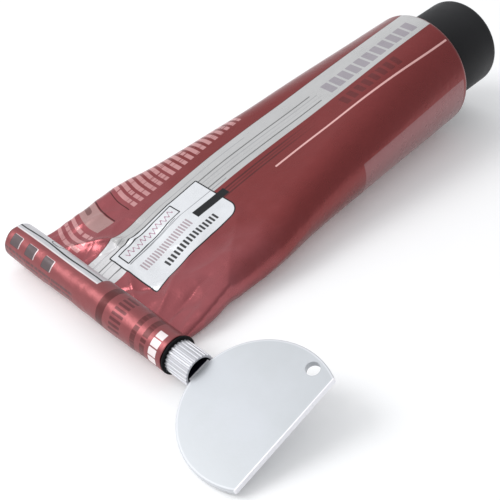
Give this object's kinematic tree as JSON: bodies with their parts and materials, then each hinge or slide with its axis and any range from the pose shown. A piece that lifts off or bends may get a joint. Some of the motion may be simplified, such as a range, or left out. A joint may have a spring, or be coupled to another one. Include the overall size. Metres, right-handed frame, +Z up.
{
  "type": "paste tube with winding key",
  "caption": "Collapsible metal paste tube with a screw cap, its tail wound on a split-shaft winding key with a D-shaped grip plate.",
  "frame": {"origin": "middle of the whole part's box in X and Y, on the surface that it lies on", "axes": "+X from the wound tail towards the cap, +Y along the roll away from the key's grip, +Z up"},
  "size_m": [0.1632, 0.0938, 0.0347],
  "materials": {
    "lacquered_sleeve": "rose-maroon lacquer over soft aluminium",
    "bare_aluminium": "bare, satin",
    "key_metal": "satin, lightly polished",
    "black_plastic": "satin black moulding",
    "wad_foam": "soft white wad",
    "paste": "smooth cream"
  },
  "bodies": {
    "tube": {"sleeve_body": "lacquered_sleeve", "sleeve_tail": "lacquered_sleeve", "shoulder": "lacquered_sleeve", "neck": "bare_aluminium", "neck_thread": "bare_aluminium", "paste": "paste"},
    "wad": {"liner": "wad_foam"},
    "cap": {"cap_shell": "black_plastic", "cap_socket": "black_plastic", "cap_thread": "black_plastic"},
    "feed": {"lead_in": "lacquered_sleeve"},
    "roll": {"tail_roll": "lacquered_sleeve", "crimp": "bare_aluminium"},
    "key": {"key_shaft": "key_metal", "key_collar": "black_plastic", "key_boss": "key_metal", "key_plate": "key_metal"}
  },
  "joints": [
    {"name": "key_turn", "type": "hinge", "parent": "feed", "child": "roll", "pos_m": [-0.06582, 0.01945, 0.00687], "axis": [0, 1, 0], "range_deg": [0, 202]},
    {"name": "feed_slide", "type": "slide", "parent": "tube", "child": "feed", "axis": [1, 0, 0], "range_m": [0, 0.0182], "deforming": ["sleeve_tail"]},
    {"name": "key_pull", "type": "slide", "parent": "roll", "child": "key", "axis": [0, -1, 0], "range_m": [0, 0.0582]},
    {"name": "cap_turn", "type": "hinge", "parent": "wad", "child": "cap", "pos_m": [0.06852, 0.01945, 0.0187], "axis": [0.9906, 0, 0.137], "range_deg": [0, 1262]},
    {"name": "wad_lift", "type": "slide", "parent": "tube", "child": "wad", "axis": [0.9906, 0, 0.137], "range_m": [0, 0.00875]}
  ],
  "couplings": [
    {"joint": "key_turn", "follows": "feed_slide", "rad_per_m": 192.31},
    {"joint": "cap_turn", "follows": "wad_lift", "rad_per_m": 2513.3}
  ]
}
